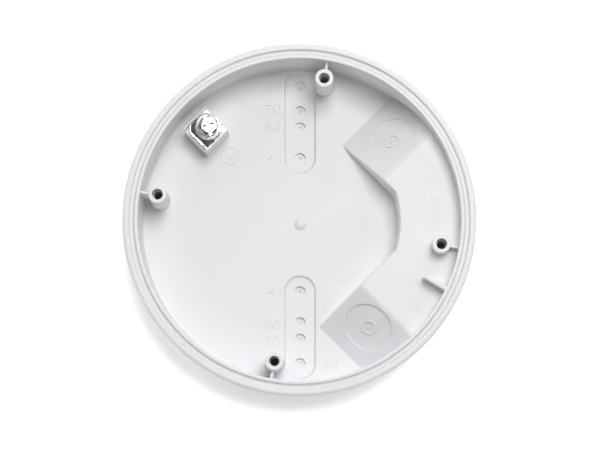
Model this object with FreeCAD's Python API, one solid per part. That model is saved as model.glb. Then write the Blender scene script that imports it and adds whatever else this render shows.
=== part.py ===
import FreeCAD, Part
import math
import os

# Surface-mounting box of a smoke detector. Millimetres and degrees.
# The origin is the middle of the back face and +Z points to the open front.

# Shell
OUTER_RADIUS = 53.2          # at the rim
BOX_HEIGHT = 21.5
FLOOR_THICKNESS = 2.5
OUTER_DRAFT = 5.0            # the outer wall narrows towards the back
INNER_DRAFT = 0.6
RIM_ROUNDING = 1.0
FLOOR_FILLET = 0.7
EDGE_ROUNDING = 0.25

# Groove in the rim, between an outer and an inner lip
OUTER_LIP = 2.0
GROOVE_WIDTH = 1.8
GROOVE_DEPTH = 1.2
GROOVE_OUTER_SLOPE = 0.3     # how far each sloping side wall leans into the groove
GROOVE_INNER_SLOPE = 0.5
INNER_LIP = 1.1              # from the groove to the inner wall's foot

# Screw pillars
PILLAR_CIRCLE_DIAMETER = 86.5
PILLAR_COUNT = 4
FIRST_PILLAR_ANGLE = -10.0
PILLAR_TOP_RADIUS = 2.75
PILLAR_DRAFT = 0.8
PILLAR_BELOW_RIM = 1.0
PILLAR_CORE_RADIUS = 1.3
PILLAR_CORE_DEPTH = 12.0
PILLAR_ENTRY_RADIUS = 1.65
PILLAR_ENTRY_DEPTH = 4.5
PILLAR_END_THICKNESS = 1.5
WEB_THICKNESS = 0.7
WEB_BELOW_TOP = 2.0

# Fixing strips: pairs of break-out holes on the Y axis
FIXING_SPACINGS = (85.0, 70.0, 60.0, 41.0)
STRIP_WIDTH = 9.8
STRIP_SLOPE = 0.6            # how far the strip's side leans in from its top edge to its floor
STRIP_DEPTH = 1.0
FIXING_RECESS_RADIUS = 1.65
MEMBRANE_RADIUS = 1.45
MEMBRANE_THICKNESS = 0.5
DIMPLE_RADIUS = 0.6
DIMPLE_DEPTH = 0.3

# Cable plateau with a ramp at each end, hollow from the back
PLATEAU_HEIGHT = 12.0        # above the floor
PLATEAU_WALL = 2.0
PLATEAU_LINE_OFFSET = 26.2   # from the centre to each straight inner wall, at the floor
PLATEAU_ARC_RADIUS = 29.8    # curved inner wall, at the floor
PLATEAU_DRAFT = 2.4
PLATEAU_CORNER_RADIUS = 1.5
PLATEAU_EDGE_ROUNDING = 0.5
RAMP_ANGLE = 35.0
RAMP_CREST_RADIUS = 2.5
UPPER_RAMP_FOOT = 8.0        # from the diagonal through the centre to the foot of the ramp
LOWER_RAMP_FOOT = 18.0

# Cable knock-outs
KNOCKOUT_RADIUS = 7.8
KNOCKOUT_BELOW_CREST = 0.1   # from the disc to where the ramp's crest starts to round
KNOCKOUT_FROM_CENTRE = 37.35
KNOCKOUT_RECESS = 0.6
KNOCKOUT_WEB_THICKNESS = 0.4
KNOCKOUT_GROOVE_WIDTH = 0.8
KNOCKOUT_RING_RADIUS = 2.35
KNOCKOUT_RING_WIDTH = 0.5
KNOCKOUT_RING_HEIGHT = 0.4
KNOCKOUT_NUB_RADIUS = 0.55

# Centring dome and locating rib
DOME_RADIUS = 1.85
DOME_HEIGHT = 1.0
RIB_START_RADIUS = 41.0
RIB_START_ANGLE = -24.4
RIB_DIRECTION = -31.5
RIB_THICKNESS = 1.3
RIB_END_ROUNDING = 0.4

# Earth terminal. Its own X runs along the wire and its own Z is the screw's axis.
TERMINAL_FROM_CENTRE = 39.9
TERMINAL_ANGLE = 133.8
WIRE_DIRECTION = 45.0
POST_HEIGHT = 8.5            # above the floor
POST_WIRE_SIDE = 6.0
POST_FAR_SIDE = 3.6
POST_WIDTH = 10.0
POST_ROUNDING = 0.5
CHEEK_THICKNESS = 0.45
CHEEK_HEIGHT = 2.5
BASE_PLATE_WIRE_SIDE = 5.4
BASE_PLATE_FAR_SIDE = 3.2
BASE_PLATE_THICKNESS = 1.2
BASE_PLATE_CORNER_CUT = 1.8
BASE_PLATE_SIDE_GAP = 0.05
PLATE_CORNER_RADIUS = 0.3
COLLAR_RADIUS = 2.7
COLLAR_LENGTH = 1.3
COLLAR_GAP = 0.1
CLAMP_WIRE_SIDE = 4.6
CLAMP_FAR_SIDE = 3.1
CLAMP_THICKNESS = 1.0
CLAMP_SIDE_GAP = 0.35
CLAMP_CORNER_CUT = 1.2
CLAMP_CORNER_SLOPE = 6.0      # the plate falls away from its round seat towards its corners
PRESSED_TOP_RADIUS = 3.75     # of the raised round seat pressed in the clamp plate
PRESSED_FOOT_RADIUS = 4.15
PRESSED_HEIGHT = 0.45
LIP_THICKNESS = 0.8
LIP_LENGTH = 0.5
LIP_GAP = 0.1
WASHER_RADIUS = 3.6
WASHER_THICKNESS = 0.6
WASHER_ROUNDING = 0.15

# Terminal screw
SCREW_RADIUS = 1.75
SCREW_LENGTH = 8.2
SCREW_POINT = 0.4
SCREW_HOLE_GAP = 0.1         # in the clamp plate and the washer
THREAD_GAP = 0.05            # in the tapped plate
HEAD_RADIUS = 3.1
HEAD_HEIGHT = 2.2
HEAD_ROUNDING = 0.8
HEAD_SEAT_ROUNDING = 0.1
SLOT_ANGLE = 108.0
SLOT_WIDTH = 0.95
SLOT_DEPTH = 1.1
CROSS_LENGTH = 3.6
CROSS_WIDTH = 0.8
CROSS_DEPTH = 1.5
CROSS_CORNER_RADIUS = 0.2
POST_HOLE_GAP = 0.45
POST_HOLE_BELOW_SCREW = 0.7

# Places that follow from the sizes above
FLOOR = FLOOR_THICKNESS
RIM = BOX_HEIGHT
PILLAR_TOP = RIM - PILLAR_BELOW_RIM
STRIP_FLOOR = FLOOR - STRIP_DEPTH
PLATEAU = FLOOR + PLATEAU_HEIGHT
GROOVE_OUTER_RADIUS = OUTER_RADIUS - OUTER_LIP
GROOVE_INNER_RADIUS = GROOVE_OUTER_RADIUS - GROOVE_WIDTH
INNER_RADIUS = GROOVE_INNER_RADIUS - INNER_LIP
OVERLAP = 0.6                # how far a feature runs into what it is moulded onto
SINK = 0.1                   # the same for a low raised mark
BEYOND = 5.0                 # how far a cutting tool runs past what it cuts
TINY = 1e-4                  # lengths below this count as nothing
FAR = 2 * OUTER_RADIUS
DIAGONAL = math.sqrt(0.5)


def point(x, y, z=0.0):
    return FreeCAD.Vector(x, y, z)


def slope(degrees):
    return math.tan(math.radians(degrees))


def polar(radius, degrees, z=0.0):
    return point(radius * math.cos(math.radians(degrees)), radius * math.sin(math.radians(degrees)), z)


def rounded_wire(corners, place):
    """A closed wire through corners (u, v, radius). place turns (u, v) into a point in space."""
    edges = []
    ends = []
    for i, (u, v, radius) in enumerate(corners):
        here = point(u, v)
        back = (point(*corners[i - 1][:2]) - here).normalize()
        ahead = (point(*corners[(i + 1) % len(corners)][:2]) - here).normalize()
        half = back.getAngle(ahead) / 2
        reach = radius / math.tan(half)
        start, end = here + back * reach, here + ahead * reach
        if radius > 0:
            middle = here + (back + ahead).normalize() * (radius / math.sin(half) - radius)
            edges.append(Part.Arc(place(start), place(middle), place(end)).toShape())
        ends.append((start, end))
    for i, (start, end) in enumerate(ends):
        before = ends[i - 1][1]
        if (start - before).Length > TINY / 10:
            edges.append(Part.makeLine(place(before), place(start)))
    return Part.Wire(Part.__sortEdges__(edges))


def turned(corners):
    """A solid of revolution about Z from corners (radius, height, rounding)."""
    wire = rounded_wire(corners, lambda p: point(p.x, 0, p.y))
    return Part.Face(wire).revolve(point(0, 0, 0), point(0, 0, 1), 360)


def plate(corners, low, high):
    """A flat plate between two heights from corners (x, y, rounding)."""
    wire = rounded_wire(corners, lambda p: point(p.x, p.y, low))
    return Part.Face(wire).extrude(point(0, 0, high - low))


def rectangle(x0, x1, y0, y1, rounding=0.0):
    return [(x0, y0, rounding), (x1, y0, rounding), (x1, y1, rounding), (x0, y1, rounding)]


def cylinder(radius, low, high, centre=None):
    centre = centre or point(0, 0)
    return Part.makeCylinder(radius, high - low, point(centre.x, centre.y, low))


def rounded_edges(shape, radius, wanted):
    return shape.makeFillet(radius, [e for e in shape.Edges if wanted(e)])


def middle_of(edge):
    return edge.valueAt((edge.FirstParameter + edge.LastParameter) / 2)


def at_height(height):
    return lambda e: all(abs(z - height) < TINY for z in [middle_of(e).z] + [v.Z for v in e.Vertexes])


def outer_radius_at(height):
    return OUTER_RADIUS - (RIM - height) * slope(OUTER_DRAFT)


def inner_radius_at(height):
    return INNER_RADIUS + (height - FLOOR) * slope(INNER_DRAFT)


# ---- Moulded box ---------------------------------------------------------------------------

def shell():
    groove_floor = RIM - GROOVE_DEPTH
    return turned([
        (0, 0, 0),
        (outer_radius_at(0), 0, EDGE_ROUNDING),
        (OUTER_RADIUS, RIM, RIM_ROUNDING),
        (GROOVE_OUTER_RADIUS, RIM, EDGE_ROUNDING),
        (GROOVE_OUTER_RADIUS - GROOVE_OUTER_SLOPE, groove_floor, EDGE_ROUNDING),
        (GROOVE_INNER_RADIUS + GROOVE_INNER_SLOPE, groove_floor, EDGE_ROUNDING),
        (GROOVE_INNER_RADIUS, RIM, EDGE_ROUNDING),
        (inner_radius_at(RIM), RIM, EDGE_ROUNDING),
        (INNER_RADIUS, FLOOR, FLOOR_FILLET),
        (0, FLOOR, 0),
    ])


def fixing_places(spacing):
    return [point(0, side * spacing / 2) for side in (1, -1)]


def strip_recess(side):
    low, high = sorted((side * min(FIXING_SPACINGS) / 2, side * max(FIXING_SPACINGS) / 2))
    outlines = []
    for height in (STRIP_FLOOR, FLOOR + SINK):
        half = STRIP_WIDTH / 2 - STRIP_SLOPE * (FLOOR - height) / STRIP_DEPTH
        corners = rectangle(-half, half, low - half, high + half, half - TINY)
        outlines.append(rounded_wire(corners, lambda p: point(p.x, p.y, height)))
    return Part.makeLoft(outlines, True, True)


def with_fixing_strips(body):
    for side in (1, -1):
        body = body.cut(strip_recess(side))
    reach = max(FIXING_SPACINGS) / 2 + STRIP_WIDTH / 2 + TINY
    near_strip = lambda at: abs(at.x) < STRIP_WIDTH and TINY < abs(at.y) < reach
    body = rounded_edges(body, EDGE_ROUNDING, lambda e: at_height(FLOOR)(e) and near_strip(middle_of(e)))
    for spacing in FIXING_SPACINGS:
        for place in fixing_places(spacing):
            body = body.cut(cylinder(FIXING_RECESS_RADIUS, MEMBRANE_THICKNESS, FLOOR, place))
            body = body.cut(cylinder(MEMBRANE_RADIUS, -BEYOND, FLOOR, place))
    return body


def membranes(spacing):
    """The two thin discs that close one pair of fixing holes, each with a dimple for the screw's point."""
    discs = []
    for place in fixing_places(spacing):
        disc = cylinder(MEMBRANE_RADIUS, 0, MEMBRANE_THICKNESS, place)
        low = MEMBRANE_THICKNESS - DIMPLE_DEPTH
        discs.append(disc.cut(Part.makeCone(0, DIMPLE_RADIUS, DIMPLE_DEPTH, point(place.x, place.y, low))))
    return Part.makeCompound(discs)


def downhill(side):
    """The level direction in which a ramp falls: side 1 is the upper ramp, -1 the lower one."""
    return point(-DIAGONAL, side * DIAGONAL)


def across(side):
    return point(DIAGONAL, side * DIAGONAL)


def ramp_foot(side):
    return UPPER_RAMP_FOOT if side == 1 else LOWER_RAMP_FOOT


def plateau_outline(height, inset, outer):
    """The plateau's plan at one height. inset is 0 for the outside and the wall for the hollow."""
    lean = (height - FLOOR) * slope(PLATEAU_DRAFT)
    line = PLATEAU_LINE_OFFSET + lean + inset
    arc = PLATEAU_ARC_RADIUS + lean + inset
    run = math.sqrt(arc ** 2 - line ** 2)
    feet = {}
    turns = {}
    rims = {}
    for side in (1, -1):
        foot = ramp_foot(side) + BEYOND
        feet[side] = downhill(side) * foot + across(side) * line
        turns[side] = across(side) * line - downhill(side) * run
        rims[side] = downhill(side) * foot + across(side) * math.sqrt(outer ** 2 - foot ** 2)
    lift = point(0, 0, height)
    edges = [
        Part.makeLine(feet[-1] + lift, turns[-1] + lift),
        Part.Arc(turns[-1] + lift, point(arc, 0, height), turns[1] + lift).toShape(),
        Part.makeLine(turns[1] + lift, feet[1] + lift),
        Part.makeLine(feet[1] + lift, rims[1] + lift),
        Part.Arc(rims[1] + lift, point(outer, 0, height), rims[-1] + lift).toShape(),
        Part.makeLine(rims[-1] + lift, feet[-1] + lift),
    ]
    return Part.Wire(edges)


def under_ramp(side, low, top, inset, crest):
    """Everything below one ramp and the plateau behind it."""
    foot = ramp_foot(side) - inset / math.sin(math.radians(RAMP_ANGLE))
    steep = slope(RAMP_ANGLE)
    corners = [
        (-FAR, low, 0),
        (foot + (FLOOR - low) / steep, low, 0),
        (foot - (top - FLOOR) / steep, top, crest),
        (-FAR, top, 0),
    ]
    direction, sideways = downhill(side), across(side)
    wire = rounded_wire(corners, lambda p: direction * p.x - sideways * FAR + point(0, 0, p.y))
    return Part.Face(wire).extrude(sideways * 2 * FAR)


def inner_corner(edge):
    """True for the two upright edges where the plateau's straight inner walls meet its curved one."""
    at = middle_of(edge)
    upright = abs(edge.Vertexes[0].Z - edge.Vertexes[-1].Z) > TINY
    return upright and at.x > abs(at.y)


def plateau_block(low, top, inset, outer, crest):
    outlines = [plateau_outline(height, inset, outer) for height in (low, top)]
    sides = Part.makeLoft(outlines, True, True)
    sides = rounded_edges(sides, PLATEAU_CORNER_RADIUS, inner_corner)
    for side in (1, -1):
        sides = sides.common(under_ramp(side, low, top, inset, crest))
    return sides


def normal_of(face, at):
    u, v = face.Surface.parameter(at)
    return face.normalAt(u, v)


def on_top_edge(shape):
    """Picks the edges where the plateau's or a ramp's top meets an inner wall."""
    def wanted(edge):
        at = middle_of(edge)
        if at.z < FLOOR - OVERLAP + TINY or math.hypot(at.x, at.y) > INNER_RADIUS - OVERLAP:
            return False
        wall, top = sorted(normal_of(face, at).z for face in shape.ancestorsOfType(edge, Part.Face))
        return wall < slope(PLATEAU_DRAFT) + TINY and top > math.cos(math.radians(RAMP_ANGLE)) - TINY
    return wanted


def plateau():
    block = plateau_block(FLOOR - OVERLAP, PLATEAU, 0.0, INNER_RADIUS + OVERLAP, RAMP_CREST_RADIUS)
    return rounded_edges(block, PLATEAU_EDGE_ROUNDING, on_top_edge(block))


def rear_recess():
    """The hollow under the plateau, open at the back, where the cable comes in."""
    top = PLATEAU - PLATEAU_WALL
    return plateau_block(-BEYOND, top, PLATEAU_WALL, INNER_RADIUS, RAMP_CREST_RADIUS)


def knockout_from_foot():
    """From a ramp's foot to the middle of its knock-out, in plan."""
    tilt = math.radians(RAMP_ANGLE)
    crest_start = PLATEAU_HEIGHT / math.sin(tilt) - RAMP_CREST_RADIUS * math.tan(tilt / 2)
    return (crest_start - KNOCKOUT_BELOW_CREST - KNOCKOUT_RADIUS) * math.cos(tilt)


def knockout_frame(side):
    """A place on the ramp's surface, with +Z square to it and pointing into the box."""
    centre = downhill(side) * (ramp_foot(side) - knockout_from_foot()) + across(side) * KNOCKOUT_FROM_CENTRE
    centre.z = FLOOR + knockout_from_foot() * slope(RAMP_ANGLE)
    normal = downhill(side) * math.sin(math.radians(RAMP_ANGLE))
    normal.z = math.cos(math.radians(RAMP_ANGLE))
    return FreeCAD.Placement(centre, FreeCAD.Rotation(point(0, 0, 1), normal))


def knockout_hole(side):
    hole = cylinder(KNOCKOUT_RADIUS, -PLATEAU_WALL - BEYOND, BEYOND)
    hole.Placement = knockout_frame(side)
    return hole


def knockout(side):
    """A break-out disc: a thin web around a thicker middle, with a small raised ring to centre the tool."""
    front = -KNOCKOUT_RECESS
    disc = cylinder(KNOCKOUT_RADIUS, front - KNOCKOUT_WEB_THICKNESS, front)
    middle = cylinder(KNOCKOUT_RADIUS - KNOCKOUT_GROOVE_WIDTH, -PLATEAU_WALL, front)
    mark_top = front + KNOCKOUT_RING_HEIGHT
    ring = cylinder(KNOCKOUT_RING_RADIUS, front - SINK, mark_top)
    ring = ring.cut(cylinder(KNOCKOUT_RING_RADIUS - KNOCKOUT_RING_WIDTH, -PLATEAU_WALL, BEYOND))
    nub = cylinder(KNOCKOUT_NUB_RADIUS, front - SINK, mark_top)
    disc = disc.fuse([middle, ring, nub]).removeSplitter()
    disc.Placement = knockout_frame(side)
    return disc


def pillar_angles():
    return [FIRST_PILLAR_ANGLE + i * 360.0 / PILLAR_COUNT for i in range(PILLAR_COUNT)]


def pillar_place(angle):
    return polar(PILLAR_CIRCLE_DIAMETER / 2, angle)


def stands_on_plateau(angle):
    """True for the pillar that stands over the rear recess."""
    place = pillar_place(angle)
    clear = PILLAR_TOP_RADIUS + PLATEAU_WALL
    return all(across(s).dot(place) > PLATEAU_LINE_OFFSET + clear for s in (1, -1)) and place.x > 0


def pillar(angle):
    """One screw pillar with its web to the wall. Over the recess it ends in a closed boss."""
    place = pillar_place(angle)
    foot = STRIP_FLOOR - OVERLAP
    if stands_on_plateau(angle):
        foot = PILLAR_TOP - PILLAR_ENTRY_DEPTH - PILLAR_CORE_DEPTH - PILLAR_END_THICKNESS
    height = PILLAR_TOP - foot
    foot_radius = PILLAR_TOP_RADIUS + height * slope(PILLAR_DRAFT)
    post = Part.makeCone(foot_radius, PILLAR_TOP_RADIUS, height, point(place.x, place.y, foot))
    post = rounded_edges(post, EDGE_ROUNDING, at_height(PILLAR_TOP))
    half = WEB_THICKNESS / 2
    web = plate(rectangle(PILLAR_CIRCLE_DIAMETER / 2, INNER_RADIUS + OVERLAP, -half, half),
                foot, PILLAR_TOP - WEB_BELOW_TOP)
    web.rotate(point(0, 0), point(0, 0, 1), angle)
    return post.fuse(web)


def pillar_hole(angle):
    place = pillar_place(angle)
    entry = PILLAR_TOP - PILLAR_ENTRY_DEPTH
    hole = cylinder(PILLAR_CORE_RADIUS, entry - PILLAR_CORE_DEPTH, RIM, place)
    return hole.fuse(cylinder(PILLAR_ENTRY_RADIUS, entry, RIM, place))


def dome():
    radius = (DOME_RADIUS ** 2 + DOME_HEIGHT ** 2) / (2 * DOME_HEIGHT)
    ball = Part.makeSphere(radius, point(0, 0, FLOOR + DOME_HEIGHT - radius))
    return ball.common(cylinder(radius, FLOOR - OVERLAP, RIM))


def locating_rib():
    start = polar(RIB_START_RADIUS, RIB_START_ANGLE)
    along = polar(1, RIB_DIRECTION)
    offset = start.dot(along)
    reach = math.sqrt(offset ** 2 - start.Length ** 2 + (INNER_RADIUS + OVERLAP) ** 2) - offset
    half = RIB_THICKNESS / 2
    low = PLATEAU - OVERLAP
    corners = [(0, -half, RIB_END_ROUNDING), (reach, -half, 0), (reach, half, 0), (0, half, RIB_END_ROUNDING)]
    rib = plate(corners, low, PILLAR_TOP)
    top_edge = lambda e: at_height(PILLAR_TOP)(e) and middle_of(e).x < reach - TINY
    rib = rounded_edges(rib, EDGE_ROUNDING, top_edge)
    rib.rotate(point(0, 0), point(0, 0, 1), RIB_DIRECTION)
    rib.translate(start)
    inside = cylinder(INNER_RADIUS + OVERLAP, 0, RIM)
    return rib.common(inside)


# ---- Earth terminal ------------------------------------------------------------------------

POST_TOP = FLOOR + POST_HEIGHT
BASE_PLATE_TOP = POST_TOP + BASE_PLATE_THICKNESS
CLAMP_LOW = BASE_PLATE_TOP + LIP_GAP + LIP_LENGTH
CLAMP_TOP = CLAMP_LOW + CLAMP_THICKNESS
WASHER_TOP = CLAMP_TOP + WASHER_THICKNESS
HEAD_TOP = WASHER_TOP + HEAD_HEIGHT
CHEEK_INSIDE = POST_WIDTH / 2 - CHEEK_THICKNESS
SCREW_TIP = WASHER_TOP - SCREW_LENGTH


def in_terminal(shape):
    """Moves a shape from the terminal's own frame to its place in the box."""
    shape.rotate(point(0, 0), point(0, 0, 1), WIRE_DIRECTION)
    shape.translate(polar(TERMINAL_FROM_CENTRE, TERMINAL_ANGLE))
    return shape


def terminal_post():
    half = POST_WIDTH / 2
    block = plate(rectangle(-POST_WIRE_SIDE, POST_FAR_SIDE, -half, half, POST_ROUNDING),
                  FLOOR - OVERLAP, POST_TOP + CHEEK_HEIGHT)
    block = rounded_edges(block, EDGE_ROUNDING / 2, at_height(POST_TOP + CHEEK_HEIGHT))
    seat = plate(rectangle(-FAR, FAR, -CHEEK_INSIDE, CHEEK_INSIDE), POST_TOP, RIM + BEYOND)
    return in_terminal(block.cut(seat))


def terminal_post_hole():
    collar = cylinder(COLLAR_RADIUS + COLLAR_GAP, POST_TOP - COLLAR_LENGTH - COLLAR_GAP, POST_TOP + BEYOND)
    hole = cylinder(SCREW_RADIUS + POST_HOLE_GAP, SCREW_TIP - POST_HOLE_BELOW_SCREW, POST_TOP)
    return in_terminal(collar.fuse(hole))


def cut_corner_plate(wire_side, far_side, half, cut):
    """A rectangle whose corner at the wire side and away from the box's centre is cut off."""
    corners = [(-wire_side, -half), (far_side, -half), (far_side, half),
               (-wire_side + cut, half), (-wire_side, half - cut)]
    return [(x, y, PLATE_CORNER_RADIUS) for x, y in corners]


def earth_base_plate():
    half = CHEEK_INSIDE - BASE_PLATE_SIDE_GAP
    strip = plate(cut_corner_plate(BASE_PLATE_WIRE_SIDE, BASE_PLATE_FAR_SIDE, half, BASE_PLATE_CORNER_CUT),
                  POST_TOP, BASE_PLATE_TOP)
    collar = cylinder(COLLAR_RADIUS, POST_TOP - COLLAR_LENGTH, POST_TOP + SINK)
    thread = cylinder(SCREW_RADIUS + THREAD_GAP, FLOOR, RIM)
    return in_terminal(strip.fuse(collar).cut(thread))


def earth_clamp_plate():
    """A square plate with lips on two sides. Its corners fall away from the round seat under the washer."""
    half = CHEEK_INSIDE - CLAMP_SIDE_GAP
    rest = CLAMP_TOP - PRESSED_HEIGHT
    outline = cut_corner_plate(CLAMP_WIRE_SIDE, CLAMP_FAR_SIDE, half, CLAMP_CORNER_CUT)
    reach = CLAMP_WIRE_SIDE + CLAMP_FAR_SIDE
    bell = turned([
        (0, CLAMP_LOW - LIP_LENGTH - BEYOND, 0),
        (reach, CLAMP_LOW - LIP_LENGTH - BEYOND, 0),
        (reach, rest - (reach - PRESSED_FOOT_RADIUS) * slope(CLAMP_CORNER_SLOPE), 0),
        (PRESSED_FOOT_RADIUS, rest, 0),
        (0, rest, 0),
    ])
    solid = plate(outline, CLAMP_LOW - LIP_LENGTH, rest + SINK).common(bell)
    channel = plate(rectangle(-FAR, FAR, LIP_THICKNESS - half, half - LIP_THICKNESS), FLOOR, CLAMP_LOW)
    seat = Part.makeCone(PRESSED_FOOT_RADIUS, PRESSED_TOP_RADIUS, PRESSED_HEIGHT, point(0, 0, rest))
    seat = seat.fuse(cylinder(PRESSED_TOP_RADIUS, rest - SINK, rest + SINK))
    seat = seat.common(plate(outline, CLAMP_LOW, CLAMP_TOP + SINK))
    hole = cylinder(SCREW_RADIUS + SCREW_HOLE_GAP, FLOOR, RIM)
    return in_terminal(solid.cut(channel).fuse(seat).cut(hole).removeSplitter())


def earth_washer():
    hole = SCREW_RADIUS + SCREW_HOLE_GAP
    return in_terminal(turned([
        (hole, CLAMP_TOP, 0),
        (WASHER_RADIUS, CLAMP_TOP, WASHER_ROUNDING),
        (WASHER_RADIUS, WASHER_TOP, WASHER_ROUNDING),
        (hole, WASHER_TOP, 0),
    ]))


def screw_drive():
    """The straight slot and the shorter cross recess in line with it."""
    slot = plate(rectangle(-FAR, FAR, -SLOT_WIDTH / 2, SLOT_WIDTH / 2), HEAD_TOP - SLOT_DEPTH, RIM)
    half_long, half_wide = CROSS_LENGTH / 2, CROSS_WIDTH / 2
    along = plate(rectangle(-half_long, half_long, -half_wide, half_wide, CROSS_CORNER_RADIUS),
                  HEAD_TOP - CROSS_DEPTH, RIM)
    athwart = along.copy()
    athwart.rotate(point(0, 0), point(0, 0, 1), 90)
    drive = slot.fuse([along, athwart])
    drive.rotate(point(0, 0), point(0, 0, 1), SLOT_ANGLE - WIRE_DIRECTION)
    return drive


def earth_screw():
    screw = turned([
        (0, SCREW_TIP, 0),
        (SCREW_RADIUS - SCREW_POINT, SCREW_TIP, 0),
        (SCREW_RADIUS, SCREW_TIP + SCREW_POINT, 0),
        (SCREW_RADIUS, WASHER_TOP, 0),
        (HEAD_RADIUS, WASHER_TOP, HEAD_SEAT_ROUNDING),
        (HEAD_RADIUS, HEAD_TOP, HEAD_ROUNDING),
        (0, HEAD_TOP, 0),
    ])
    return in_terminal(screw.cut(screw_drive()))


# ---- Pieces --------------------------------------------------------------------------------

def box_body():
    body = with_fixing_strips(shell())
    body = body.fuse(plateau()).cut(rear_recess())
    body = body.fuse([pillar(angle) for angle in pillar_angles()])
    body = body.fuse([dome(), locating_rib(), terminal_post()])
    body = body.cut([pillar_hole(angle) for angle in pillar_angles()])
    body = body.cut([knockout_hole(side) for side in (1, -1)])
    return body.cut(terminal_post_hole()).removeSplitter()


def write(node, shape):
    solids = shape.Solids
    good = shape.isValid() and all(s.isClosed() and s.Volume > 0 for s in solids)
    print(f"{node}: {len(solids)} solid(s), {shape.Volume:.1f} mm3, {'valid' if good else 'NOT VALID'}")
    if not good:
        raise ValueError(f"{node} is not a valid solid")
    (solids[0] if len(solids) == 1 else shape).exportStep(f"parts/{node}.step")


os.makedirs("parts", exist_ok=True)
write("box_body", box_body())
write("knockout_upper", knockout(1))
write("knockout_lower", knockout(-1))
for spacing in FIXING_SPACINGS:
    write(f"membranes_{spacing:.0f}", membranes(spacing))
write("earth_base_plate", earth_base_plate())
write("earth_clamp_plate", earth_clamp_plate())
write("earth_washer", earth_washer())
write("earth_screw", earth_screw())
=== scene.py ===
import math
import bpy
import bmesh
from mathutils import Matrix, Vector

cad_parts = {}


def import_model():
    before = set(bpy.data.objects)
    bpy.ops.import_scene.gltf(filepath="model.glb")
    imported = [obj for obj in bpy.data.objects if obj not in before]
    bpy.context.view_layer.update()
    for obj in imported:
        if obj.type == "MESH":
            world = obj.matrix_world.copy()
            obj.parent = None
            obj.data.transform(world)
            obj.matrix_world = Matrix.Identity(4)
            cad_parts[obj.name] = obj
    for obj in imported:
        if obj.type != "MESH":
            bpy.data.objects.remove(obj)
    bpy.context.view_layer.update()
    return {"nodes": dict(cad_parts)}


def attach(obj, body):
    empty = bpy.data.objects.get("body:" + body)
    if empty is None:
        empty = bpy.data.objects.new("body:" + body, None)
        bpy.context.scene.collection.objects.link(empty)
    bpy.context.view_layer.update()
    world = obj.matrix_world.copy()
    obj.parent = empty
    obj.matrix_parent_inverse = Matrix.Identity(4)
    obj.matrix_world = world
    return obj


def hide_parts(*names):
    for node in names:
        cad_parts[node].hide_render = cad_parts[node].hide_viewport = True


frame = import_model()
NODES = frame["nodes"]

# Sizes are in millimetres unless a comment says otherwise, and MM turns them into metres.
MM = 0.001
FLOOR = 2.5                      # height of the box's floor
PLATEAU = 14.5                   # height of the raised cable plateau


# ---- Node helpers --------------------------------------------------------------------------

class Nodes:
    """Short calls for building a node tree."""

    def __init__(self, tree):
        self.tree = tree
        tree.nodes.clear()

    def add(self, kind, **values):
        node = self.tree.nodes.new(kind)
        for name, value in values.items():
            setattr(node, name, value)
        return node

    def put(self, target, socket, source):
        """Sets a socket to a number or colour, or links it from another node's socket."""
        into = target.inputs[socket]
        if isinstance(source, bpy.types.NodeSocket):
            self.tree.links.new(source, into)
        else:
            into.default_value = source

    def math(self, operation, a, b=0.0):
        node = self.add("ShaderNodeMath", operation=operation)
        self.put(node, 0, a)
        self.put(node, 1, b)
        return node.outputs[0]

    def remap(self, value, source, target):
        """Maps the range source = (low, high) onto the range target, and holds it at both ends."""
        node = self.add("ShaderNodeMapRange")
        for i, v in enumerate((value, *source, *target)):
            self.put(node, i, v)
        return node.outputs[0]

    def mix(self, factor, a, b):
        """Mixes two colours. The node's colour sockets are inputs 6 and 7 and output 2."""
        node = self.add("ShaderNodeMix", data_type="RGBA")
        self.put(node, 0, factor)
        self.put(node, 6, a)
        self.put(node, 7, b)
        return node.outputs[2]

    def noise(self, where, waves, detail, roughness, stretch=None):
        """Noise with so many waves per millimetre, more of them along an axis that is stretched."""
        if stretch:
            mapping = self.add("ShaderNodeMapping")
            self.put(mapping, "Vector", where)
            self.put(mapping, "Scale", stretch)
            where = mapping.outputs[0]
        node = self.add("ShaderNodeTexNoise")
        self.put(node, "Vector", where)
        self.put(node, "Scale", waves / MM)
        self.put(node, "Detail", detail)
        self.put(node, "Roughness", roughness)
        return node.outputs["Fac"]

    def bump(self, height, depth, normal=None):
        node = self.add("ShaderNodeBump")
        self.put(node, "Strength", 1.0)
        self.put(node, "Distance", depth * MM)
        self.put(node, "Height", height)
        if normal is not None:
            self.put(node, "Normal", normal)
        return node.outputs[0]

    def finish(self, shader, kind="ShaderNodeOutputMaterial"):
        self.put(self.add(kind), "Surface", shader.outputs[0])


def new_material(name):
    material = bpy.data.materials.new(name)
    material.use_nodes = True
    return material, Nodes(material.node_tree)


def colour(r, g, b):
    return (r, g, b, 1.0)


def shade(tint, factor):
    """The tint made lighter or darker by a factor."""
    return colour(*[min(1.0, c * factor) for c in tint])


# ---- Materials -----------------------------------------------------------------------------

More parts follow.
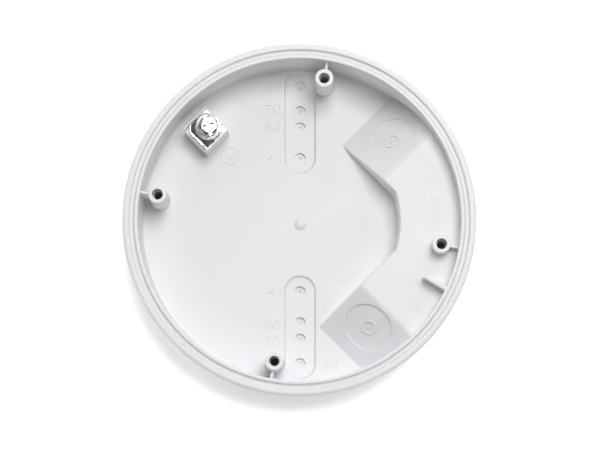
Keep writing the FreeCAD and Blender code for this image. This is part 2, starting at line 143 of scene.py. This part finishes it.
def moulded_plastic(name, tint):
    """White injection-moulded plastic: faint flow marks, fine spark-eroded grain, uneven gloss."""
    material, n = new_material(name)
    where = n.add("ShaderNodeTexCoord").outputs["Object"]
    flow = n.noise(where, waves=0.035, detail=3.0, roughness=0.55)
    cloud = n.noise(where, waves=0.2, detail=3.0, roughness=0.5)
    grain = n.noise(where, waves=6.0, detail=2.0, roughness=0.6)
    fine = n.noise(where, waves=18.0, detail=1.0, roughness=0.5)
    base = n.mix(n.remap(flow, (0.3, 0.7), (0.0, 1.0)), shade(tint, 1.012), shade(tint, 0.982))
    base = n.mix(n.remap(cloud, (0.3, 0.7), (0.0, 0.35)), base, colour(*tint))
    base = n.mix(n.remap(grain, (0.35, 0.65), (0.0, 0.05)), base, shade(tint, 0.9))
    uneven = n.math("ADD", cloud, n.math("MULTIPLY", grain, 0.5))
    shader = n.add("ShaderNodeBsdfPrincipled")
    n.put(shader, "Base Color", base)
    n.put(shader, "Roughness", n.remap(uneven, (0.45, 1.05), (0.36, 0.5)))
    n.put(shader, "IOR", 1.5)
    n.put(shader, "Specular IOR Level", 0.5)
    normal = n.bump(fine, depth=0.002)
    normal = n.bump(grain, 0.005, normal)
    n.put(shader, "Normal", normal)
    n.finish(shader)
    return material


def nickel(name, tint, stretch, roughness, waviness):
    """Bright nickel plating on steel: fine drawn lines, small handling marks and a wavy surface."""
    material, n = new_material(name)
    where = n.add("ShaderNodeTexCoord").outputs["Object"]
    lines = n.noise(where, waves=1.6, detail=3.0, roughness=0.6, stretch=stretch)
    marks = n.noise(where, waves=0.8, detail=4.0, roughness=0.65)
    stains = n.noise(where, waves=0.25, detail=3.0, roughness=0.5)
    waves = n.noise(where, waves=0.3, detail=1.0, roughness=0.5)
    base = n.mix(n.remap(stains, (0.35, 0.7), (0.0, 1.0)), colour(*tint), shade(tint, 0.9))
    base = n.mix(n.remap(marks, (0.62, 0.75), (0.0, 0.4)), base, shade(tint, 0.72))
    shader = n.add("ShaderNodeBsdfPrincipled")
    n.put(shader, "Base Color", base)
    n.put(shader, "Metallic", 1.0)
    n.put(shader, "Roughness", n.remap(n.math("ADD", lines, marks), (0.7, 1.3), roughness))
    normal = n.bump(waves, depth=waviness)
    normal = n.bump(lines, 0.0015, normal)
    normal = n.bump(marks, 0.004, normal)
    n.put(shader, "Normal", normal)
    n.finish(shader)
    return material


PLASTIC = moulded_plastic("white_plastic_look", (0.80, 0.806, 0.818))
PRESSED = nickel("pressed_nickel", (0.78, 0.77, 0.745), stretch=(6.0, 0.7, 1.0),
                 roughness=(0.07, 0.2), waviness=0.05)
TURNED = nickel("turned_nickel", (0.76, 0.75, 0.73), stretch=(1.0, 1.0, 5.0),
                roughness=(0.08, 0.18), waviness=0.012)

LOOK_OF_SLOT = {"white_plastic": PLASTIC, "plated_steel": PRESSED, "screw_steel": TURNED}


def dress_cad_nodes():
    for node in NODES.values():
        for slot in node.material_slots:
            slot.material = LOOK_OF_SLOT[slot.material.name.split(".")[0]]


PUNCHED_EDGE = 0.1
PUNCHED_EDGE_ANGLE = 40          # degrees; only corners sharper than this are rounded


def soften_plates():
    """Gives the stamped plates the small rounding that their punched edges have."""
    for name in ("earth_clamp_plate", "earth_base_plate"):
        bevel = NODES[name].modifiers.new("punched_edge", "BEVEL")
        bevel.width = PUNCHED_EDGE * MM
        bevel.segments = 2
        bevel.limit_method = "ANGLE"
        bevel.angle_limit = math.radians(PUNCHED_EDGE_ANGLE)


def link(name, data):
    """Puts a new object with this data in the scene."""
    obj = bpy.data.objects.new(name, data)
    bpy.context.scene.collection.objects.link(obj)
    return obj


def plastic_piece(name, mesh):
    """A piece of the box's plastic that rides on the box."""
    mesh.materials.clear()
    mesh.materials.append(PLASTIC)
    piece = link(name, mesh)
    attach(piece, "box")


# ---- Raised marks --------------------------------------------------------------------------

MARK_HEIGHT = 0.25
MARK_EDGE = 0.03                 # bevel on a mark's top edge
SINK = 0.05                      # how far a mark reaches into the surface it stands on


def raised_mesh(name, curve, low, high, edge):
    """Turns a flat curve or text into a closed mesh between two heights, with bevelled edges."""
    half = (high - low) / 2
    curve.extrude = (half - edge) * MM
    curve.bevel_depth = edge * MM
    curve.bevel_resolution = 2
    curve.offset = -edge * MM
    holder = link(name, curve)
    graph = bpy.context.evaluated_depsgraph_get()
    mesh = bpy.data.meshes.new_from_object(holder.evaluated_get(graph))
    bpy.data.objects.remove(holder)
    work = bmesh.new()
    work.from_mesh(mesh)
    bmesh.ops.remove_doubles(work, verts=work.verts, dist=1e-7)
    bmesh.ops.translate(work, verts=work.verts, vec=(0, 0, (low + half) * MM))
    work.to_mesh(mesh)
    work.free()
    mesh.name = name
    return mesh


def outline_mesh(name, outlines, low, high, edge):
    """A raised mark from closed outlines [(x, y), ...]. A clockwise outline is a hole's edge."""
    curve = bpy.data.curves.new(name, "CURVE")
    curve.dimensions = "2D"
    curve.fill_mode = "BOTH"
    for outline in outlines:
        spline = curve.splines.new("POLY")
        spline.points.add(len(outline) - 1)
        for point, (x, y) in zip(spline.points, outline):
            point.co = (x * MM, y * MM, 0, 1)
        spline.use_cyclic_u = True
    return raised_mesh(name, curve, low, high, edge)


CIRCLE_STEPS = 96


def circle(x, y, radius, turn=1):
    """A circle's outline: anticlockwise, or clockwise with turn = -1."""
    angles = [turn * 2 * math.pi * i / CIRCLE_STEPS for i in range(CIRCLE_STEPS)]
    return [(x + radius * math.cos(a), y + radius * math.sin(a)) for a in angles]


def bar(x0, x1, y0, y1):
    return [(x0, y0), (x1, y0), (x1, y1), (x0, y1)]


def extent(values):
    """The middle and the length of the range that the values span."""
    return (min(values) + max(values)) / 2, max(values) - min(values)


NUMERAL_HEIGHT = 2.8
NUMERAL_WIDTH = 4.9              # of both digits
# Text and the place of its middle.
NUMERALS = [("85", -8.1, 42.4), ("70", -8.1, 35.7), ("60", -8.1, 30.5), ("41", -7.9, 20.6),
            ("41", -7.6, -20.4), ("60", -8.4, -30.4), ("70", -8.4, -35.6), ("85", 9.4, -42.6)]


def numerals():
    """The spacing of each pair of fixing holes in millimetres, raised beside the strips."""
    for text, x, y in NUMERALS:
        name = f"numeral_{text}_{'top' if y > 0 else 'bottom'}"
        curve = bpy.data.curves.new(name, "FONT")
        curve.body = text
        curve.size = NUMERAL_HEIGHT * MM
        mesh = raised_mesh(name, curve, FLOOR - SINK, FLOOR + MARK_HEIGHT, MARK_EDGE)
        middle_x, width = extent([v.co.x for v in mesh.vertices])
        middle_y, height = extent([v.co.y for v in mesh.vertices])
        mesh.transform(Matrix.Translation((-middle_x, -middle_y, 0)))
        mesh.transform(Matrix.Diagonal((NUMERAL_WIDTH * MM / width,
                                        NUMERAL_HEIGHT * MM / height, 1, 1)))
        mesh.transform(Matrix.Translation((x * MM, y * MM, 0)))
        plastic_piece(name, mesh)


EARTH_MARK = (-21.3, 21.3)       # the ring's middle
EARTH_TURNED = -45               # degrees
EARTH_RADIUS = 2.72
EARTH_LINE = 0.4
STEM_TOP = 1.65
# Half length and upper edge of each bar, from the widest down.
EARTH_BARS = [(1.35, 0.1), (0.9, -0.6), (0.45, -1.3)]


def earth_mark():
    """The generic protective-earth sign beside the terminal: a stem and three bars in a ring."""
    half = EARTH_LINE / 2
    bars = [bar(-half, half, EARTH_BARS[0][1], STEM_TOP)]
    bars += [bar(-reach, reach, top - EARTH_LINE, top) for reach, top in EARTH_BARS]
    ring = [circle(0, 0, EARTH_RADIUS), circle(0, 0, EARTH_RADIUS - EARTH_LINE, turn=-1)]
    place = (Matrix.Translation((EARTH_MARK[0] * MM, EARTH_MARK[1] * MM, 0))
             @ Matrix.Rotation(math.radians(EARTH_TURNED), 4, "Z"))
    for name, outlines in (("earth_sign_ring", ring), ("earth_sign_bars", bars)):
        mesh = outline_mesh(name, outlines, FLOOR - SINK, FLOOR + MARK_HEIGHT, MARK_EDGE)
        mesh.transform(place)
        plastic_piece(name, mesh)


EJECTOR_RADIUS = 2.4
EJECTOR_HEIGHT = 0.12
EJECTOR_EDGE = 0.025
# Place, and the height of the surface that the mark stands on.
EJECTOR_PLACES = [(-18.2, 39.8, FLOOR), (13.5, -15.7, FLOOR), (42.0, 8.8, PLATEAU),
                  (37.0, -25.6, PLATEAU), (33.7, -15.4, PLATEAU)]


def ejector_marks():
    """Faint round marks that the mould's ejector pins leave."""
    for i, (x, y, surface) in enumerate(EJECTOR_PLACES):
        name = f"ejector_mark_{i + 1}"
        mesh = outline_mesh(name, [circle(x, y, EJECTOR_RADIUS)], surface - SINK,
                            surface + EJECTOR_HEIGHT, EJECTOR_EDGE)
        plastic_piece(name, mesh)


# ---- Terminal screw ------------------------------------------------------------------------

SCREW_FROM_CENTRE = 39.9
SCREW_AT_ANGLE = 133.8           # degrees
SCREW_TIP = 6.2
SCREW_RADIUS = 1.75
SCREW_POINT = 0.4                # height of the chamfer at the tip
SEAT = 14.4                      # where the head meets the washer
HEAD_TOP = 16.6
HEAD_RADIUS = 3.1
HEAD_ROUNDING = 0.8
HEAD_ROUNDING_STEPS = 12
# Height above the seat and inset of the head's lower edge.
HEAD_LOWER_EDGE = [(0.0, 0.1), (0.03, 0.03), (0.1, 0.0)]
HEAD_FLAT_RADII = (1.9, 1.4, 0.9, 0.4)

THREAD_PITCH = 0.6
THREAD_DEPTH = 0.3
THREAD_FLANK = 0.42              # share of the pitch that each side of a groove takes
THREAD_RUNOUT = 0.8              # length over which the thread fades out below the head
THREAD_START = 0.3               # share of the full depth at the tip
ROWS_PER_PITCH = 10
TURN_STEPS = 96

SLOT_ANGLE = 108.0               # degrees
SLOT_WIDTH = 0.95
SLOT_DEPTH = 1.1
CROSS_LENGTH = 3.6
CROSS_WIDTH = 0.8
CROSS_DEPTH = 1.5
CUTTER_OVERSHOOT = 1             # how far a cutter stands out past the head
CUTTER_CORNER = 0.2
CUTTER_CORNER_STEPS = 4
SMOOTH_BELOW = 35                # degrees; sharper edges stay sharp


def thread_rows():
    """Rows (height, radius, share of the thread's depth) from the screw's tip to its seat."""
    count = round((SEAT - SCREW_TIP) / THREAD_PITCH * ROWS_PER_PITCH)
    for i in range(count + 1):
        height = SCREW_TIP + (SEAT - SCREW_TIP) * i / count
        radius = min(SCREW_RADIUS, SCREW_RADIUS - SCREW_POINT + (height - SCREW_TIP))
        share = min(1.0, (SEAT - height) / THREAD_RUNOUT,
                    THREAD_START + (height - SCREW_TIP) / SCREW_POINT)
        yield height, radius, share


def head_rows():
    """Rows of the same kind from the seat, over the rounded edge, to near the head's middle."""
    for above, inset in HEAD_LOWER_EDGE:
        yield SEAT + above, HEAD_RADIUS - inset, 0.0
    for i in range(HEAD_ROUNDING_STEPS + 1):
        a = math.pi / 2 * i / HEAD_ROUNDING_STEPS
        yield (HEAD_TOP - HEAD_ROUNDING * (1 - math.sin(a)),
               HEAD_RADIUS - HEAD_ROUNDING * (1 - math.cos(a)), 0.0)
    for radius in HEAD_FLAT_RADII:
        yield HEAD_TOP, radius, 0.0


def screw_ring(work, height, radius, share):
    """One row's vertices round the Z axis, pulled in where the thread's groove runs."""
    ring = []
    for i in range(TURN_STEPS):
        turn = i / TURN_STEPS
        phase = (height / THREAD_PITCH - turn) % 1.0
        groove = max(0.0, 1.0 - abs(phase - 0.5) / THREAD_FLANK)
        r = radius - THREAD_DEPTH * share * groove
        a = 2 * math.pi * turn
        ring.append(work.verts.new((r * math.cos(a), r * math.sin(a), height)))
    return ring


def screw_blank():
    """The screw before its drive is cut: a closed surface round the Z axis."""
    work = bmesh.new()
    rings = [screw_ring(work, *row) for row in (*thread_rows(), *head_rows())]
    neighbours = [(i, (i + 1) % TURN_STEPS) for i in range(TURN_STEPS)]
    for low, high in zip(rings, rings[1:]):
        for i, j in neighbours:
            work.faces.new((low[i], low[j], high[j], high[i]))
    for ring, height, downward in ((rings[0], SCREW_TIP, True), (rings[-1], HEAD_TOP, False)):
        pole = work.verts.new((0, 0, height))
        for i, j in neighbours:
            work.faces.new((ring[j], ring[i], pole) if downward else (ring[i], ring[j], pole))
    return work


def bar_cutter(length, width, depth, turned):
    """A bar with rounded corners that cuts one part of the drive."""
    work = bmesh.new()
    outline = []
    corner = min(CUTTER_CORNER, width / 3)
    for x, y, start in ((1, 1, 0), (-1, 1, 90), (-1, -1, 180), (1, -1, 270)):
        for step in range(CUTTER_CORNER_STEPS + 1):
            a = math.radians(start + 90 / CUTTER_CORNER_STEPS * step)
            outline.append((x * (length / 2 - corner) + corner * math.cos(a),
                            y * (width / 2 - corner) + corner * math.sin(a)))
    low = [work.verts.new((x, y, HEAD_TOP - depth)) for x, y in outline]
    high = [work.verts.new((x, y, HEAD_TOP + CUTTER_OVERSHOOT)) for x, y in outline]
    work.faces.new(low[::-1])
    work.faces.new(high)
    for i in range(len(outline)):
        j = (i + 1) % len(outline)
        work.faces.new((low[i], low[j], high[j], high[i]))
    turn = Matrix.Rotation(math.radians(turned), 3, "Z")
    bmesh.ops.rotate(work, verts=work.verts, matrix=turn)
    return work


def object_from(work, name):
    mesh = bpy.data.meshes.new(name)
    bmesh.ops.recalc_face_normals(work, faces=work.faces)
    work.to_mesh(mesh)
    work.free()
    return link(name, mesh)


def threaded_screw():
    """The terminal screw with a real thread, in place of the plain CAD screw."""
    screw = object_from(screw_blank(), "screw_blank")
    cutters = [bar_cutter(2 * (HEAD_RADIUS + CUTTER_OVERSHOOT), SLOT_WIDTH, SLOT_DEPTH, SLOT_ANGLE),
               bar_cutter(CROSS_LENGTH, CROSS_WIDTH, CROSS_DEPTH, SLOT_ANGLE),
               bar_cutter(CROSS_LENGTH, CROSS_WIDTH, CROSS_DEPTH, SLOT_ANGLE + 90)]
    tools = [object_from(work, "screw_cutter") for work in cutters]
    for tool in tools:
        cut = screw.modifiers.new("cut", "BOOLEAN")
        cut.operation = "DIFFERENCE"
        cut.solver = "EXACT"
        cut.object = tool
    graph = bpy.context.evaluated_depsgraph_get()
    mesh = bpy.data.meshes.new_from_object(screw.evaluated_get(graph))
    for obj in tools + [screw]:
        bpy.data.objects.remove(obj)
    at = math.radians(SCREW_AT_ANGLE)
    mesh.transform(Matrix.Diagonal((MM, MM, MM, 1)))
    mesh.transform(Matrix.Translation((SCREW_FROM_CENTRE * math.cos(at) * MM,
                                       SCREW_FROM_CENTRE * math.sin(at) * MM, 0)))
    mesh.shade_smooth()
    mesh.set_sharp_from_angle(angle=math.radians(SMOOTH_BELOW))
    mesh.materials.clear()
    mesh.materials.append(TURNED)
    piece = link("earth_screw_threaded", mesh)
    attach(piece, "screw")
    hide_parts("earth_screw")


# ---- Camera, light and floor, in metres ------------------------------------------------------

CAMERA_DISTANCE = 0.860
CAMERA_TILT_X = 0.64             # degrees off straight above, towards +X
CAMERA_TILT_Y = -5.4             # and towards +Y
LENS = 168.7                     # mm, on a sensor 36 mm wide
SENSOR = 36.0
NEAREST = 0.01
FARTHEST = 20


def camera():
    data = bpy.data.cameras.new("camera")
    data.sensor_width = SENSOR
    data.lens = LENS
    data.clip_start = NEAREST
    data.clip_end = FARTHEST
    cam = link("camera", data)
    tilt_x, tilt_y = math.radians(CAMERA_TILT_X), math.radians(CAMERA_TILT_Y)
    away = Vector((math.sin(tilt_x), math.sin(tilt_y), 0))
    away.z = math.sqrt(1 - away.x ** 2 - away.y ** 2)
    cam.location = Vector((0, 0, FLOOR * MM)) + away * CAMERA_DISTANCE
    forward = -away
    right = forward.cross(Vector((0, 1, 0))).normalized()
    up = right.cross(forward)
    cam.rotation_euler = Matrix((right, up, -forward)).transposed().to_euler()
    bpy.context.scene.camera = cam


# Name, azimuth, elevation and half angle in degrees, and radiance.
LAMPS = [("key", 60, 71, 14, 10.6), ("front", 285, 33, 18, 0.6)]
LAMP_DISTANCE = 1.6


def soft_light(name, azimuth, elevation, half_angle, radiance):
    """A round lamp that fills a cone of that half angle, seen from the object, evenly."""
    radius = LAMP_DISTANCE * math.tan(math.radians(half_angle))
    data = bpy.data.lights.new(name, "AREA")
    data.shape = "DISK"
    data.size = 2 * radius
    data.energy = radiance * math.pi * math.pi * radius ** 2
    a, e = math.radians(azimuth), math.radians(elevation)
    towards = Vector((math.cos(a) * math.cos(e), math.sin(a) * math.cos(e), math.sin(e)))
    light = link(name, data)
    light.location = towards * LAMP_DISTANCE
    light.rotation_euler = (-light.location).to_track_quat("-Z", "Y").to_euler()


PANELS = 5
PANEL_EDGE = (-0.25, 0.05)       # cosines between which a gap turns into a panel
PANEL_RADIANCE = 1.3
GAP_RADIANCE = 0.04
BRIGHT_SIDE = 105.0              # azimuth of the brighter walls, degrees
DIM_TO_BRIGHT = (0.5, 1.35)      # factors on the walls opposite that side and on it
WALL_TOP = (0.64, 0.78)          # sines of the elevations over which the walls fade out
CEILING = (0.7, 0.99)            # and over which the ceiling comes up
CEILING_RADIANCE = 0.06
STUDIO_TINT = (0.985, 0.99, 1.0)


def world():
    """A studio: tall light panels and dark gaps up to about 45 degrees, under a dim ceiling."""
    studio = bpy.data.worlds.new("studio")
    studio.use_nodes = True
    n = Nodes(studio.node_tree)
    direction = n.add("ShaderNodeTexCoord").outputs["Generated"]
    split = n.add("ShaderNodeSeparateXYZ")
    n.put(split, 0, direction)
    x, y, height = split.outputs
    azimuth = n.math("ARCTAN2", y, x)
    wave = n.math("COSINE", n.math("MULTIPLY", azimuth, PANELS))
    panels = n.remap(wave, PANEL_EDGE, (GAP_RADIANCE, PANEL_RADIANCE))
    lean = n.math("COSINE", n.math("SUBTRACT", azimuth, math.radians(BRIGHT_SIDE)))
    walls = n.math("MULTIPLY", panels, n.remap(lean, (-1.0, 1.0), DIM_TO_BRIGHT))
    walls = n.math("MULTIPLY", walls, n.remap(height, WALL_TOP, (1.0, 0.0)))
    ceiling = n.remap(height, CEILING, (0.0, CEILING_RADIANCE))
    background = n.add("ShaderNodeBackground")
    n.put(background, "Color", colour(*STUDIO_TINT))
    n.put(background, "Strength", n.math("ADD", walls, ceiling))
    n.finish(background, "ShaderNodeOutputWorld")
    bpy.context.scene.world = studio


STUDIO_FLOOR = 6.0               # half of its side
STUDIO_FLOOR_HEIGHT = -0.00002   # just under the object
FLOOR_PAINT = 0.8
FLOOR_SEEN = 2.0                 # to the camera and in reflections, for the white background


def floor():
    side, height = STUDIO_FLOOR, STUDIO_FLOOR_HEIGHT
    corners = [(-side, -side, height), (side, -side, height),
               (side, side, height), (-side, side, height)]
    mesh = bpy.data.meshes.new("studio_floor")
    mesh.from_pydata(corners, [], [(0, 1, 2, 3)])
    material, n = new_material("floor_paint")
    diffuse = n.add("ShaderNodeBsdfDiffuse")
    path = n.add("ShaderNodeLightPath").outputs
    reflected = n.math("MAXIMUM", path["Is Glossy Ray"], path["Is Transmission Ray"])
    seen = n.math("MAXIMUM", path["Is Camera Ray"], reflected)
    n.put(diffuse, "Color", n.mix(seen, colour(*[FLOOR_PAINT] * 3), colour(*[FLOOR_SEEN] * 3)))
    n.finish(diffuse)
    mesh.materials.append(material)
    link("studio_floor", mesh)


dress_cad_nodes()
soften_plates()
numerals()
earth_mark()
ejector_marks()
threaded_screw()
camera()
world()
for lamp in LAMPS:
    soft_light(*lamp)
floor()

scene = bpy.context.scene
scene.view_settings.view_transform = "Standard"
